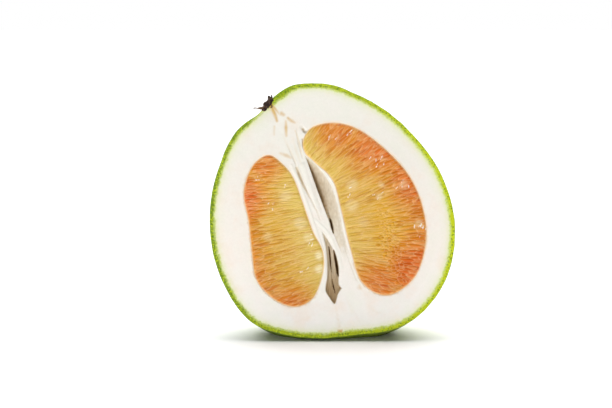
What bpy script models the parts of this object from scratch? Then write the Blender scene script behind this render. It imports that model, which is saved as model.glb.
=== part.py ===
"""Half of a pomelo, cut lengthwise beside its stem, standing on a small flat spot at its blossom end.

Units are metres, +Z is up, the cut face looks along -Y and leans back a little.  The origin lies on the
flat resting spot.  A point of the fruit is first worked out in the cut's own coordinates: u to the right
and v upward in the cut face, and d, the depth behind that face.
"""

import math

import bmesh
import bpy
import numpy as np

MM = 0.001

# --- Driving dimensions -------------------------------------------------------------------------------

FACE_LEAN = math.radians(7.0)       # how far the cut face leans back from upright
CUT_LIFT = 2.0 * MM                 # the cut's lower edge stands this far above the floor
ORIGIN_BEHIND_CUT = 26.0 * MM       # from the cut's lower edge back to the middle of the resting spot

CUT_CENTRE_V = 80.0 * MM            # height of the cut's centre above its lower edge
# Landmarks on the cut's outer edge, (u, v) in millimetres, clockwise from the crown.
RIND_LANDMARKS = (
    (-28, 155.5), (-8, 158),                    # the two sides of the crown
    (20, 149), (50, 126), (69, 98), (76, 65),   # right shoulder, down to the widest place
    (68, 32), (46, 9), (14, 2), (-22, 1),       # round to the foot
    (-50, 10), (-68, 35), (-76, 70),            # and up to the widest place on the left
    (-71, 104), (-56, 132), (-46, 139),         # left shoulder and the dimple below the stem
    (-36, 150),                                 # the swelling above the stem
)

HALF_DEPTH = 70.0 * MM              # from the widest section back to the skin
BULGE_DEPTH = 8.0 * MM              # the widest section lies this far behind the cut
BODY_SQUARENESS = 2.2               # 2 is an ellipse; more is squarer
BACK_POLE_V = 72.0 * MM             # height of the point where the back closes

PRESS = 10.0 * MM                  # how far the fruit's own weight pushes its underside down
PRESS_DEPTH = 30.0 * MM             # depth behind the cut over which that comes in
PRESS_WIDTH = 32.0 * MM             # distance to each side, and
PRESS_HEIGHT = 60.0 * MM            # height above the floor, over which it fades out
FLOOR_BLEND = 1.5 * MM              # softness of the edge of the resting spot

SKIN = 2.2 * MM                     # thickness of the green outer peel
GAP = 0.3 * MM                      # clearance between neighbouring tissues
RIND_STEPS_ROUND = 60
RIND_STEPS_BACK = 17

# Outlines in the cut face, (u, v) in millimetres, clockwise from the top.
LEFT_SEGMENT = ((-40, 113.5), (-31, 108), (-24, 99), (-18, 83), (-12, 66), (-6, 54), (-6, 40), (-12, 25),
                (-23, 19.5), (-36, 24), (-47, 36), (-50, 53), (-52, 72), (-55, 90), (-50, 106))
RIGHT_SEGMENT = ((-18, 123), (-12, 131), (2, 133.5), (17, 129), (34, 116), (48, 100), (56, 81), (58, 60),
                 (51, 38), (34, 26.5), (18, 35), (11, 56), (5, 81), (0, 98), (-11, 109), (-17, 115))
CORE_HOLLOW = ((-15, 110), (-8, 98), (-3, 81), (1, 65), (3, 50), (4, 37), (5, 31), (1.5, 21), (-4, 30),
               (-3, 48), (-6, 66), (-8, 86), (-12, 100))

CORE_TOP = (-40 * MM, 144 * MM)     # the core's line runs from under the stem
CORE_FOOT = (5 * MM, 4 * MM)        # to the blossom scar
LEFT_SEGMENT_DEPTH = 17.0 * MM
RIGHT_SEGMENT_DEPTH = 21.0 * MM
INNER_EDGE_DEPTH = 0.35             # a segment's depth beside the core, as a share of its full depth
SEGMENT_COLLAR = 0.5 * MM           # straight-walled depth just behind the cut
SEGMENT_STEPS_ROUND = 36
SEGMENT_STEPS_BACK = 6
HOLLOW_DEPTH = 18.0 * MM
CUTTER_REACH = 5.0 * MM             # cutters stand this far out in front of the cut face

CALYX_ANGLE = math.radians(-32.0)   # where the stem end meets the cut's edge, from straight up
CALYX_BEHIND_CUT = 3.6 * MM
CALYX_RADIUS = 4.6 * MM
CALYX_LOBES = 5
CALYX_STEPS_ROUND = 30
CALYX_SPREAD = math.radians(3.0)    # half the stretch of edge that the calyx lies along
SEAT_CLEARANCE = 0.6 * MM           # its flat seat stands clear of the round skin

COLOURS = {                          # linear red, green, blue and the roughness of each tissue
    "rind": ((0.32, 0.42, 0.05), 0.45),
    "pith": ((0.86, 0.84, 0.78), 0.85),
    "flesh_left": ((0.72, 0.30, 0.08), 0.25),
    "flesh_right": ((0.78, 0.28, 0.09), 0.25),
    "calyx": ((0.03, 0.018, 0.016), 0.9),
}


# --- Placing points -----------------------------------------------------------------------------------

def place(points):
    """World positions of points given as (u, v, d)."""
    u, v, d = np.moveaxis(np.asarray(points, float), -1, 0)
    lean_sin = math.sin(FACE_LEAN)
    lean_cos = math.cos(FACE_LEAN)
    y = v * lean_sin + d * lean_cos - ORIGIN_BEHIND_CUT
    z = v * lean_cos - d * lean_sin + CUT_LIFT
    return np.stack([u, y, z], axis=-1)


CUT_NORMAL = np.array([0.0, -math.cos(FACE_LEAN), math.sin(FACE_LEAN)])


def smooth_step(x):
    x = np.clip(x, 0.0, 1.0)
    return x * x * (3.0 - 2.0 * x)


def rest_on_floor(z):
    """Height after the floor holds it up: flat at 0, with a short smooth run into the free surface."""
    blend = (z + FLOOR_BLEND) ** 2 / (4.0 * FLOOR_BLEND)
    return np.where(z > FLOOR_BLEND, z, np.where(z < -FLOOR_BLEND, 0.0, blend))


# --- Curves and grids ---------------------------------------------------------------------------------

def through(values, place_along):
    """Smooth closed curve through evenly spaced values; place_along counts in values."""
    values = np.asarray(values, float)
    count = len(values)
    index = np.floor(place_along).astype(int)
    t = (place_along - index).reshape((-1,) + (1,) * (values.ndim - 1))
    p0, p1, p2, p3 = (values[(index + k) % count] for k in (-1, 0, 1, 2))
    return 0.5 * (2 * p1 + (p2 - p0) * t + (2 * p0 - 5 * p1 + 4 * p2 - p3) * t ** 2
                  + (3 * p1 - p0 - 3 * p2 + p3) * t ** 3)


def closed_outline(points_mm, count):
    """Points spread evenly along the smooth closed curve through an outline, in metres."""
    points = np.array(points_mm, float) * MM
    fine = through(points, np.linspace(0, len(points), 20 * len(points), endpoint=False))
    run = np.concatenate([[0.0], np.cumsum(np.linalg.norm(np.diff(fine, axis=0, append=fine[:1]), axis=1))])
    looped = np.vstack([fine, fine[:1]])
    wanted = np.linspace(0.0, run[-1], count, endpoint=False)
    return np.stack([np.interp(wanted, run, looped[:, k]) for k in (0, 1)], axis=-1)


def grid_normals(grid, tip):
    """Outward unit normals of rings of points that run clockwise, seen from in front, back to a tip."""
    around = np.roll(grid, -1, axis=1) - np.roll(grid, 1, axis=1)
    tip_ring = np.broadcast_to(tip, grid[:1].shape)
    back = np.gradient(np.concatenate([grid, tip_ring]), axis=0)[:-1]
    normals = np.cross(around, back)
    return normals / np.linalg.norm(normals, axis=-1, keepdims=True)


def inset(grid, tip, distance):
    """The same surface moved inward, with its first ring kept in the cut face."""
    normals = grid_normals(grid, tip)
    front = normals[0] - np.outer(normals[0] @ CUT_NORMAL, CUT_NORMAL)
    normals[0] = front / np.linalg.norm(front, axis=-1, keepdims=True)
    last_normal = normals[-1].mean(axis=0)
    return grid - distance * normals, tip - distance * last_normal / np.linalg.norm(last_normal)


# --- Meshes -------------------------------------------------------------------------------------------

def make_object(name, mesh_maker, is_cutter=False):
    """New object whose mesh is filled by mesh_maker, with its own material unless it is a cutter."""
    mesh = bpy.data.meshes.new(name)
    shape = bmesh.new()
    mesh_maker(shape)
    bmesh.ops.recalc_face_normals(shape, faces=shape.faces)
    shape.to_mesh(mesh)
    shape.free()
    piece = bpy.data.objects.new(name, mesh)
    bpy.context.scene.collection.objects.link(piece)
    if is_cutter:
        piece.hide_render = True
        piece.display_type = "WIRE"
        return piece
    colour, roughness = COLOURS[name]
    material = bpy.data.materials.new(name)
    material.use_nodes = True
    shader = material.node_tree.nodes["Principled BSDF"]
    shader.inputs["Base Color"].default_value = (*colour, 1.0)
    shader.inputs["Roughness"].default_value = roughness
    shader.inputs["Metallic"].default_value = 0.0
    mesh.materials.append(material)
    mesh.shade_smooth()
    mesh.set_sharp_from_angle(angle=math.radians(40))
    return piece


def add_rings(shape, grid):
    """Vertices for each ring of the grid, with quads between neighbouring rings."""
    rings = [[shape.verts.new(point) for point in ring] for ring in grid]
    for near, far in zip(rings, rings[1:]):
        bridge(shape, near, far)
    return rings


def bridge(shape, near, far):
    count = len(near)
    for i in range(count):
        j = (i + 1) % count
        shape.faces.new((near[i], near[j], far[j], far[i]))


def close_with_tip(shape, ring, tip):
    """Triangle fan from the last ring to one point."""
    end = shape.verts.new(tip)
    for i, corner in enumerate(ring):
        shape.faces.new((corner, ring[(i + 1) % len(ring)], end))


# --- The body: skin and pith ----------------------------------------------------------------------------

def edge_radius(angles):
    """Distance from the cut's centre to its edge: a smooth closed curve through the landmarks."""
    marks = np.array(RIND_LANDMARKS) * MM - (0.0, CUT_CENTRE_V)
    full_turn = 2.0 * math.pi
    turns = np.unwrap(np.arctan2(marks[:, 0], marks[:, 1]))
    turns = np.concatenate([turns - full_turn, turns, turns + full_turn])
    radii = np.tile(np.hypot(marks[:, 0], marks[:, 1]), 3)
    slopes = np.gradient(radii, turns)
    wanted = np.mod(angles, full_turn)
    after = np.searchsorted(turns, wanted, side="right")
    before = after - 1
    span = turns[after] - turns[before]
    t = (wanted - turns[before]) / span
    return (radii[before] * (1 + 2 * t) * (1 - t) ** 2 + span * slopes[before] * t * (1 - t) ** 2
            + radii[after] * t ** 2 * (3 - 2 * t) + span * slopes[after] * t ** 2 * (t - 1))


def cut_edge(angles):
    """Points (u, v) on the cut's outer edge, at angles clockwise from straight up."""
    radii = edge_radius(angles)
    return np.stack([radii * np.sin(angles), CUT_CENTRE_V + radii * np.cos(angles)], axis=-1)


def body_surface():
    """Outer skin as rings from the cut's edge back, and the point that closes it."""
    edge = cut_edge(np.linspace(0.0, 2.0 * math.pi, RIND_STEPS_ROUND, endpoint=False))

    power = 2.0 / BODY_SQUARENESS
    first_turn = -math.asin((BULGE_DEPTH / HALF_DEPTH) ** (1.0 / power))
    turns = np.linspace(first_turn, math.pi / 2.0, RIND_STEPS_BACK + 1)
    sines = np.sign(np.sin(turns)) * np.abs(np.sin(turns)) ** power
    depths = HALF_DEPTH * sines + BULGE_DEPTH
    scales = (np.cos(turns) / math.cos(first_turn)) ** power

    # The rings shrink about a point that sinks from the cut's centre to the back pole.
    centres = CUT_CENTRE_V + (BACK_POLE_V - CUT_CENTRE_V) * smooth_step(depths / depths[-1])
    rings = []
    for depth, scale, centre in zip(depths, scales, centres):
        u = edge[:, 0] * scale
        v = centre + (edge[:, 1] - CUT_CENTRE_V) * scale
        rings.append(np.stack([u, v, np.full_like(u, depth)], axis=-1))
    surface = place(rings)

    belly = PRESS * smooth_step(depths / PRESS_DEPTH)[:, None]
    belly = belly * np.exp(-(surface[..., 0] / PRESS_WIDTH) ** 2)
    belly = belly * smooth_step(1.0 - surface[..., 2] / PRESS_HEIGHT)
    surface[..., 2] = rest_on_floor(surface[..., 2] - belly)
    return surface[:-1], surface[-1].mean(axis=0)


OUTER, OUTER_TIP = body_surface()


def rind_mesh(shape):
    inner, inner_tip = inset(OUTER, OUTER_TIP, SKIN)
    outside = add_rings(shape, OUTER)
    inside = add_rings(shape, inner)
    close_with_tip(shape, outside[-1], OUTER_TIP)
    close_with_tip(shape, inside[-1], inner_tip)
    bridge(shape, outside[0], inside[0])


def pith_mesh(shape):
    surface, tip = inset(OUTER, OUTER_TIP, SKIN + GAP)
    rings = add_rings(shape, surface)
    close_with_tip(shape, rings[-1], tip)
    shape.faces.new(rings[0])


# --- Segments and the hollow core -----------------------------------------------------------------------

def segment_surface(outline_mm, full_depth):
    """A segment as rings from the cut face back to its keel: shallow beside the core, deep at the peel."""
    outline = closed_outline(outline_mm, SEGMENT_STEPS_ROUND)
    core_top = np.array(CORE_TOP)
    core_run = np.array(CORE_FOOT) - core_top
    core_run /= np.linalg.norm(core_run)
    away = outline - core_top
    from_core = np.abs(away[:, 0] * core_run[1] - away[:, 1] * core_run[0])
    share = from_core / from_core.max()
    keel = outline[share > 0.5].mean(axis=0)
    deepness = INNER_EDGE_DEPTH + (1.0 - INNER_EDGE_DEPTH) * share

    rings = [np.column_stack([outline, np.zeros(len(outline))])]
    for turn in np.linspace(0.0, math.pi / 2.0, SEGMENT_STEPS_BACK + 1):
        scale = math.cos(turn)
        depth = SEGMENT_COLLAR + full_depth * math.sin(turn) * (1.0 - (1.0 - deepness) * scale)
        rings.append(np.column_stack([keel + scale * (outline - keel), depth]))
    surface = place(rings)
    return surface[:-1], surface[-1].mean(axis=0)


def flesh_mesh(outline_mm, full_depth):
    def fill(shape):
        surface, tip = segment_surface(outline_mm, full_depth)
        surface, tip = inset(surface, tip, GAP)
        rings = add_rings(shape, surface)
        close_with_tip(shape, rings[-1], tip)
        shape.faces.new(rings[0])
    return fill


def pocket_mesh(outline_mm, full_depth):
    def fill(shape):
        surface, tip = segment_surface(outline_mm, full_depth)
        surface[0] += CUTTER_REACH * CUT_NORMAL
        rings = add_rings(shape, surface)
        close_with_tip(shape, rings[-1], tip)
        shape.faces.new(rings[0])
    return fill


def hollow_mesh(shape):
    """Cutter for the open core: straight walls at first, then drawing in towards its floor."""
    outline = closed_outline(CORE_HOLLOW, SEGMENT_STEPS_ROUND)
    middle = outline.mean(axis=0)
    rings = []
    for depth, scale in ((-CUTTER_REACH, 1.0), (0.55 * HOLLOW_DEPTH, 1.0), (HOLLOW_DEPTH, 0.7)):
        ring = middle + scale * (outline - middle)
        rings.append(np.column_stack([ring, np.full(len(ring), depth)]))
    made = add_rings(shape, place(rings))
    shape.faces.new(made[0])
    shape.faces.new(made[-1])


# --- Dried calyx at the stem end ------------------------------------------------------------------------

def calyx_mesh(shape):
    """A lobed button seated on the skin, drawn up into the dry stub, which ends in a bent spike."""
    before, here, after = cut_edge(CALYX_ANGLE + np.array([-CALYX_SPREAD, 0.0, CALYX_SPREAD]))
    along = np.append(before - after, 0.0)         # down the skin, to the lower left
    along /= np.linalg.norm(along)
    out = np.array([along[1], -along[0], 0.0])
    seat = np.append(here, CALYX_BEHIND_CUT) + SEAT_CLEARANCE * out
    behind = np.array([0.0, 0.0, 1.0])
    # Height above the seat, share of the full radius, lobe depth, and shift down the skin.
    levels = ((0.0, 1.0, 0.22, 0.0), (1.0, 1.02, 0.20, 0.0), (1.9, 0.72, 0.12, 0.0), (2.4, 0.42, 0.0, 0.6),
              (2.9, 0.30, 0.0, 2.2), (2.7, 0.20, 0.0, 4.6), (2.0, 0.11, 0.0, 7.2))
    angles = np.linspace(0.0, 2.0 * math.pi, CALYX_STEPS_ROUND, endpoint=False)
    rings = []
    for height, share, lobe, shift in levels:
        reach = CALYX_RADIUS * share * (1.0 + lobe * np.cos(CALYX_LOBES * angles))
        ring = (seat + out * height * MM + along * shift * MM
                + np.outer(reach * np.cos(angles), along) + np.outer(reach * np.sin(angles), behind))
        rings.append(ring)
    made = add_rings(shape, place(rings))
    shape.faces.new(made[0])
    shape.faces.new(made[-1])


# --- Build ----------------------------------------------------------------------------------------------

for old in list(bpy.data.objects):
    bpy.data.objects.remove(old, do_unlink=True)

make_object("rind", rind_mesh)
pith = make_object("pith", pith_mesh)
make_object("flesh_left", flesh_mesh(LEFT_SEGMENT, LEFT_SEGMENT_DEPTH))
make_object("flesh_right", flesh_mesh(RIGHT_SEGMENT, RIGHT_SEGMENT_DEPTH))
make_object("calyx", calyx_mesh)

cutters = (
    make_object("left_pocket_cutter", pocket_mesh(LEFT_SEGMENT, LEFT_SEGMENT_DEPTH), is_cutter=True),
    make_object("right_pocket_cutter", pocket_mesh(RIGHT_SEGMENT, RIGHT_SEGMENT_DEPTH), is_cutter=True),
    make_object("hollow_cutter", hollow_mesh, is_cutter=True),
)
for cutter in cutters:
    cut = pith.modifiers.new(cutter.name, "BOOLEAN")
    cut.operation = "DIFFERENCE"
    cut.solver = "EXACT"
    cut.object = cutter
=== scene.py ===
"""Half of a pomelo, cut lengthwise and standing on its blossom end: the finish of every surface.

The sections follow the fruit from the outside in: green skin, white pith with its open core, the juicy
segments, and the dry calyx at the stem.  Shapes are drawn in the cut's own frame, in millimetres: u to
the right and v up in the cut face, and depth behind it.  place() turns them into world metres, +Z up.
"""

import math

import bpy
import numpy as np
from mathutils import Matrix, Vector, geometry, noise


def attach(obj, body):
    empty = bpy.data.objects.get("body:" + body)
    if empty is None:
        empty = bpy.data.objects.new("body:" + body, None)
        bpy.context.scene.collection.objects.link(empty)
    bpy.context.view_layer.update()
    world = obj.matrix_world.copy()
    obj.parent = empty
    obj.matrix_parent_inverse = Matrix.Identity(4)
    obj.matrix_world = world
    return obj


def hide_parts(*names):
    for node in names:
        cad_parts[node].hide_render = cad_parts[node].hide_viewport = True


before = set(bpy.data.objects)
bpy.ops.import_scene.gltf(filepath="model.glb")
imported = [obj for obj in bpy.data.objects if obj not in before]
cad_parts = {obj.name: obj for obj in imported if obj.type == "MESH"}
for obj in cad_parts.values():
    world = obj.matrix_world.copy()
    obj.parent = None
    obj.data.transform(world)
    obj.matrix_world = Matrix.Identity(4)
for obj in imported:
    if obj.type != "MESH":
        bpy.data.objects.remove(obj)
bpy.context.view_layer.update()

MM = 0.001
scene = bpy.context.scene


# --- Green skin -----------------------------------------------------------------------------------------
# The flavedo: a thin, waxy, oil-filled layer that grew as one bowl round the half and was cut through with
# the rest, so it shows outside as dimpled skin and in the cut as a bright green line.

FACE_LEAN = math.radians(7.0)        # the cut face leans back this far
CUT_LIFT = 2.0                       # its own origin lies this far over the floor,
ORIGIN_BEHIND_CUT = 26.0             # and this far in front of the world's origin
CUT_CENTRE_V = 80.0
# Landmarks on the cut's outer edge, clockwise from the crown.
SKIN_LANDMARKS = (
    (-28, 155.5), (-8, 158),                    # the two sides of the crown
    (20, 149), (50, 126), (69, 98), (76, 65),   # right shoulder, down to the widest place
    (68, 32), (46, 9), (14, 2), (-22, 1),       # round to the foot
    (-50, 10), (-68, 35), (-76, 70),            # and up to the widest place on the left
    (-71, 104), (-56, 132), (-46, 139),         # left shoulder and the dimple below the stem
    (-36, 150),                                 # the swelling above the stem
)
HALF_DEPTH = 70.0                    # from the widest place, behind the cut, to the back
BULGE_DEPTH = 8.0                    # how far behind the cut that place is
BODY_SQUARENESS = 2.2                # 2 would be an ellipse from front to back
BACK_POLE_V = 72.0
PRESS = 10.0                         # how far the belly sinks where it rests,
PRESS_DEPTH = 30.0                   # how far behind the cut it does so fully,
PRESS_WIDTH = 32.0                   # to each side
PRESS_HEIGHT = 60.0                  # and upwards
FLOOR_BLEND = 1.5

SKIN_THICKNESS = 1.3                 # the part of the peel that stays green right through
RIM_ROUND = 0.22
# The green is thinner left of the stem and thicker right of it, as (u, v, spread squared, how much).
PEEL_THINNER = ((-46.5, 141.0, 49.0, 2.6), (-30.0, 150.0, 60.0, -1.3))
SKIN_HALF_WIDTH, SKIN_HALF_HEIGHT = 0.076, 0.080
# Slow and quick waves of the surface, as (height, size, seed); they die out towards the floor.
SKIN_WAVES = ((0.24, 9.0, 1), (0.16, 3.2, 2))
WAVES_START = 3.0
SKIN_STEPS_ROUND = 420
SKIN_STEPS_BACK = 110
FIRST_BACKS = (0.0035, 0.0065)       # two close rings behind the cut edge
HIDDEN_BACKS = (0.02, 0.96)          # where the hidden inner face starts and ends
HIDDEN_RINGS = 16
CUT_NORMAL = np.array([0.0, -math.cos(FACE_LEAN), math.sin(FACE_LEAN)])


def smooth_step(x):
    x = np.clip(x, 0.0, 1.0)
    return x * x * (3.0 - 2.0 * x)


def through(values, where):
    """Smooth closed curve through evenly spaced values; where counts in values."""
    values = np.asarray(values, float)
    index = np.floor(where).astype(int)
    t = (where - index).reshape(where.shape + (1,) * (values.ndim - 1))
    p0, p1, p2, p3 = (values[(index + k) % len(values)] for k in (-1, 0, 1, 2))
    return 0.5 * (2 * p1 + (p2 - p0) * t + (2 * p0 - 5 * p1 + 4 * p2 - p3) * t ** 2
                  + (3 * p1 - p0 - 3 * p2 + p3) * t ** 3)


def place(u, v, depth):
    """World position of places in the cut's own frame."""
    x = u * MM
    y = (v * math.sin(FACE_LEAN) + depth * math.cos(FACE_LEAN) - ORIGIN_BEHIND_CUT) * MM
    z = (v * math.cos(FACE_LEAN) - depth * math.sin(FACE_LEAN) + CUT_LIFT) * MM
    return np.stack(np.broadcast_arrays(x, y, z), axis=-1)


def edge_radius(angle):
    """Radius of the cut edge from its centre: a smooth closed curve through the landmarks."""
    marks = np.array(SKIN_LANDMARKS) - (0.0, CUT_CENTRE_V)
    full_turn = 2.0 * math.pi
    turns = np.unwrap(np.arctan2(marks[:, 0], marks[:, 1]))
    turns = np.concatenate([turns - full_turn, turns, turns + full_turn])
    radii = np.tile(np.hypot(marks[:, 0], marks[:, 1]), 3)
    slopes = np.gradient(radii, turns)
    wanted = np.mod(angle, full_turn)
    after = np.searchsorted(turns, wanted, side="right")
    before = after - 1
    span = turns[after] - turns[before]
    t = (wanted - turns[before]) / span
    return (radii[before] * (1 + 2 * t) * (1 - t) ** 2 + span * slopes[before] * t * (1 - t) ** 2
            + radii[after] * t ** 2 * (3 - 2 * t) + span * slopes[after] * t ** 2 * (t - 1))


def skin_point(angle, back):
    """The skin's surface: angle clockwise from the top, back from 0 at the cut to 1 at the back pole."""
    radius = edge_radius(angle)
    power = 2.0 / BODY_SQUARENESS
    first_turn = -math.asin((BULGE_DEPTH / HALF_DEPTH) ** (1.0 / power))
    turn = first_turn + back * (math.pi / 2.0 - first_turn)
    depth = HALF_DEPTH * np.sign(np.sin(turn)) * np.abs(np.sin(turn)) ** power + BULGE_DEPTH
    scale = (np.maximum(np.cos(turn), 0.0) / math.cos(first_turn)) ** power
    centre_v = CUT_CENTRE_V + smooth_step(depth / (HALF_DEPTH + BULGE_DEPTH)) * (BACK_POLE_V - CUT_CENTRE_V)
    point = place(radius * np.sin(angle) * scale, centre_v + radius * np.cos(angle) * scale, depth) / MM
    belly = PRESS * smooth_step(depth / PRESS_DEPTH) * np.exp(-(point[..., 0] / PRESS_WIDTH) ** 2)
    belly = belly * smooth_step(1.0 - point[..., 2] / PRESS_HEIGHT)
    low = point[..., 2] - belly
    blend = (low + FLOOR_BLEND) ** 2 / (4.0 * FLOOR_BLEND)
    point[..., 2] = np.where(low > FLOOR_BLEND, low, np.where(low < -FLOOR_BLEND, 0.0, blend))
    return point * MM


def skin_normal(angle, back):
    """Outward normal of the skin, by small steps round and back."""
    step = 0.004
    round_step = skin_point(angle + step, back) - skin_point(angle - step, back)
    inner = np.clip(back, step, 1.0 - step)
    back_step = skin_point(angle, inner + step) - skin_point(angle, inner - step)
    normal = np.cross(round_step, back_step)
    return normal / np.linalg.norm(normal, axis=-1, keepdims=True)


def rough_field(points, size, seed):
    """Smooth random values between -1 and 1, with bumps of about this size in the points' own unit."""
    shift = Vector((seed * 7.31, seed * 3.17, seed * 5.73))
    values = [noise.noise(Vector(p) / size + shift) for p in points.reshape(-1, 3)]
    return np.array(values).reshape(points.shape[:-1])


def new_object(name, vertices, faces, material):
    """A smooth-shaded mesh piece with its material."""
    mesh = bpy.data.meshes.new(name)
    mesh.from_pydata(np.asarray(vertices).tolist(), [], faces)
    mesh.update()
    mesh.shade_smooth()
    mesh.materials.append(material)
    piece = bpy.data.objects.new(name, mesh)
    scene.collection.objects.link(piece)
    return piece


def store(piece, name, values):
    """One number or one colour for each vertex, for the material to read."""
    values = np.asarray(values, np.float32)
    if values.ndim == 1:
        piece.data.attributes.new(name, "FLOAT", "POINT").data.foreach_set("value", values)
    else:
        colours = np.hstack([values, np.ones((len(values), 1), np.float32)])
        piece.data.attributes.new(name, "FLOAT_COLOR", "POINT").data.foreach_set("color", colours.ravel())


def joined_rings(numbers):
    """Quads between rings of vertex numbers, one ring after another."""
    found = []
    for near, far in zip(numbers, numbers[1:]):
        found += np.stack([near, np.roll(near, -1), np.roll(far, -1), far], axis=-1).tolist()
    return found


def fan(ring, tip):
    """Triangles that close the last ring of vertex numbers with a tip."""
    return np.stack([ring, np.roll(ring, -1), np.full(len(ring), tip)], axis=-1).tolist()


def turned(faces):
    """The same faces, facing the other way."""
    return [face[::-1] for face in faces]


def shade(red, green, blue):
    """Linear colour from the 0-255 values that a screen shows."""
    shown = np.array([red, green, blue]) / 255.0
    linear = np.where(shown <= 0.04045, shown / 12.92, ((shown + 0.055) / 1.055) ** 2.4)
    return (*linear.tolist(), 1.0)


def grey(value):
    return (value, value, value, 1.0)


def plug(made, inputs):
    """Puts values or other nodes' outputs in a node's inputs."""
    for name, value in inputs.items():
        if isinstance(value, bpy.types.NodeSocket):
            made.id_data.links.new(value, made.inputs[name])
        else:
            made.inputs[name].default_value = value


def node(tree, kind, inputs=None, **settings):
    """A shader node with its settings and its inputs."""
    made = tree.nodes.new("ShaderNode" + kind)
    for name, value in settings.items():
        setattr(made, name, value)
    plug(made, inputs or {})
    return made


def bumped(tree, strength, distance, height):
    """Normals of a relief whose height is worked out by other nodes; the distance is in millimetres."""
    inputs = {"Strength": strength, "Distance": distance * MM, "Height": height}
    return node(tree, "Bump", inputs).outputs["Normal"]


def maths(tree, operation, a, b=0.0, clamp=False):
    return node(tree, "Math", {0: a, 1: b}, operation=operation, use_clamp=clamp).outputs[0]


def mix(tree, factor, a, b, kind="MIX"):
    return node(tree, "Mix", {0: factor, 6: a, 7: b}, data_type="RGBA", blend_type=kind).outputs[2]


def ramp(tree, factor, *stops):
    """Colour ramp from (position, colour) stops."""
    made = node(tree, "ValToRGB", {"Fac": factor})
    elements = made.color_ramp.elements
    while len(elements) < len(stops):
        elements.new(1.0)
    for element, (position, colour) in zip(elements, stops):
        element.position = position
        element.color = colour
    return made.outputs["Color"]


def speckle(tree, coordinates, size, detail=3.0, roughness=0.5):
    """Noise between 0 and 1 with features of about this size in millimetres."""
    made = node(tree, "TexNoise", {"Vector": coordinates, "Scale": 1.0 / (size * MM), "Detail": detail,
                                   "Roughness": roughness})
    return made.outputs["Fac"]


def cells(tree, coordinates, size, randomness=1.0):
    """Distance from the nearest of many scattered points, in cells of about this size in millimetres."""
    made = node(tree, "TexVoronoi", {"Vector": coordinates, "Scale": 1.0 / (size * MM),
                                     "Randomness": randomness})
    return made.outputs["Distance"]


def attribute(tree, name, output="Fac"):
    return node(tree, "Attribute", attribute_name=name).outputs[output]


def new_material(name):
    """A material, its node tree, its shader and its object coordinates."""
    material = bpy.data.materials.new(name)
    material.use_nodes = True
    tree = material.node_tree
    return material, tree, tree.nodes["Principled BSDF"], node(tree, "TexCoord").outputs["Object"]


def new_group(name, inputs, outputs):
    """Empty shader node group: its tree, its inputs and its outputs."""
    group = bpy.data.node_groups.new(name, "ShaderNodeTree")
    for socket_name, kind in inputs:
        group.interface.new_socket(socket_name, in_out="INPUT", socket_type="NodeSocket" + kind)
    for socket_name, kind in outputs:
        group.interface.new_socket(socket_name, in_out="OUTPUT", socket_type="NodeSocket" + kind)
    return group, group.nodes.new("NodeGroupInput").outputs, group.nodes.new("NodeGroupOutput").inputs


# Colour of the peel where the knife went through it: oil glands in green tissue that fades into pith.
# Its green is painted lighter and yellower towards the right, as painted light from that side.
peel_section, given, result = new_group(
    "peel section",
    [("Depth", "Float"), ("Painted Side Light", "Float"), ("Pith Colour", "Color"), ("Coordinates", "Vector")],
    [("Color", "Color")])
wander = maths(peel_section, "SUBTRACT", speckle(peel_section, given["Coordinates"], 3.0, 4.0, 0.6), 0.5)
flicker = maths(peel_section, "SUBTRACT", speckle(peel_section, given["Coordinates"], 0.8, 2.0, 0.5), 0.5)
ragged_depth = maths(peel_section, "ADD", given["Depth"], maths(peel_section, "MULTIPLY", wander, 2.6))
ragged_depth = maths(peel_section, "ADD", ragged_depth, maths(peel_section, "MULTIPLY", flicker, 1.4))
reach = maths(peel_section, "MULTIPLY", ragged_depth, 0.1, clamp=True)
solid = ramp(peel_section, reach, (0.0, grey(1.0)), (0.18, grey(0.95)), (0.26, grey(0.5)),
             (0.35, grey(0.0)))
fringe = ramp(peel_section, reach, (0.0, grey(1.0)), (0.30, grey(0.80)), (0.42, grey(0.26)),
              (0.62, grey(0.07)), (1.0, grey(0.0)))
# Painted light: the cut green is lighter and yellower where the painted side light is strongest.
green = mix(peel_section, given["Painted Side Light"], shade(116, 142, 0), shade(208, 218, 0))
gland = ramp(peel_section, cells(peel_section, given["Coordinates"], 1.5, 0.9),
             (0.0, grey(1.0)), (0.26, grey(0.9)), (0.42, grey(0.0)))
lit_grain = ramp(peel_section, speckle(peel_section, given["Coordinates"], 1.1, 3.0, 0.7),
                 (0.48, grey(0.0)), (0.62, grey(0.85)))
green = mix(peel_section, lit_grain, green, shade(204, 222, 30))
green = mix(peel_section, maths(peel_section, "MULTIPLY", gland, 0.85), green, shade(84, 124, 0))
outer_line = ramp(peel_section, maths(peel_section, "MULTIPLY", given["Depth"], 0.5, clamp=True),
                  (0.0, grey(0.6)), (0.12, grey(0.35)), (0.30, grey(0.0)))
green = mix(peel_section, outer_line, green, shade(108, 142, 12))
faded = mix(peel_section, fringe, given["Pith Colour"], shade(206, 220, 104))
peel_section.links.new(mix(peel_section, solid, faded, green), result["Color"])

PITH_BY_THE_SKIN = shade(240, 237, 228)


def add_peel_section(tree, coordinates, pith_colour):
    """The cut peel's colour in a material whose mesh stores peel_depth and its painted side light."""
    inputs = {"Depth": attribute(tree, "peel_depth"), "Painted Side Light": attribute(tree, "painted_side_light"),
              "Pith Colour": pith_colour, "Coordinates": coordinates}
    return node(tree, "Group", inputs, node_tree=peel_section).outputs["Color"]


def thinner_peel(u, v):
    """How much thinner the green is here than elsewhere, in millimetres."""
    return sum(thinner * np.exp(-((u - place_u) ** 2 + (v - place_v) ** 2) / spread)
               for place_u, place_v, spread, thinner in PEEL_THINNER)


def painted_side_light_of(points):
    """Painted light: how much lighter and yellower the skin is painted, most on the right, a little at
    lower left.
    """
    x, z = points[..., 0] / SKIN_HALF_WIDTH, points[..., 2] / SKIN_HALF_HEIGHT
    return np.clip(0.36 + 0.52 * x + 0.30 * np.exp(-((x + 0.45) ** 2 + z ** 2) / 0.16), 0.0, 1.0)
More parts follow.
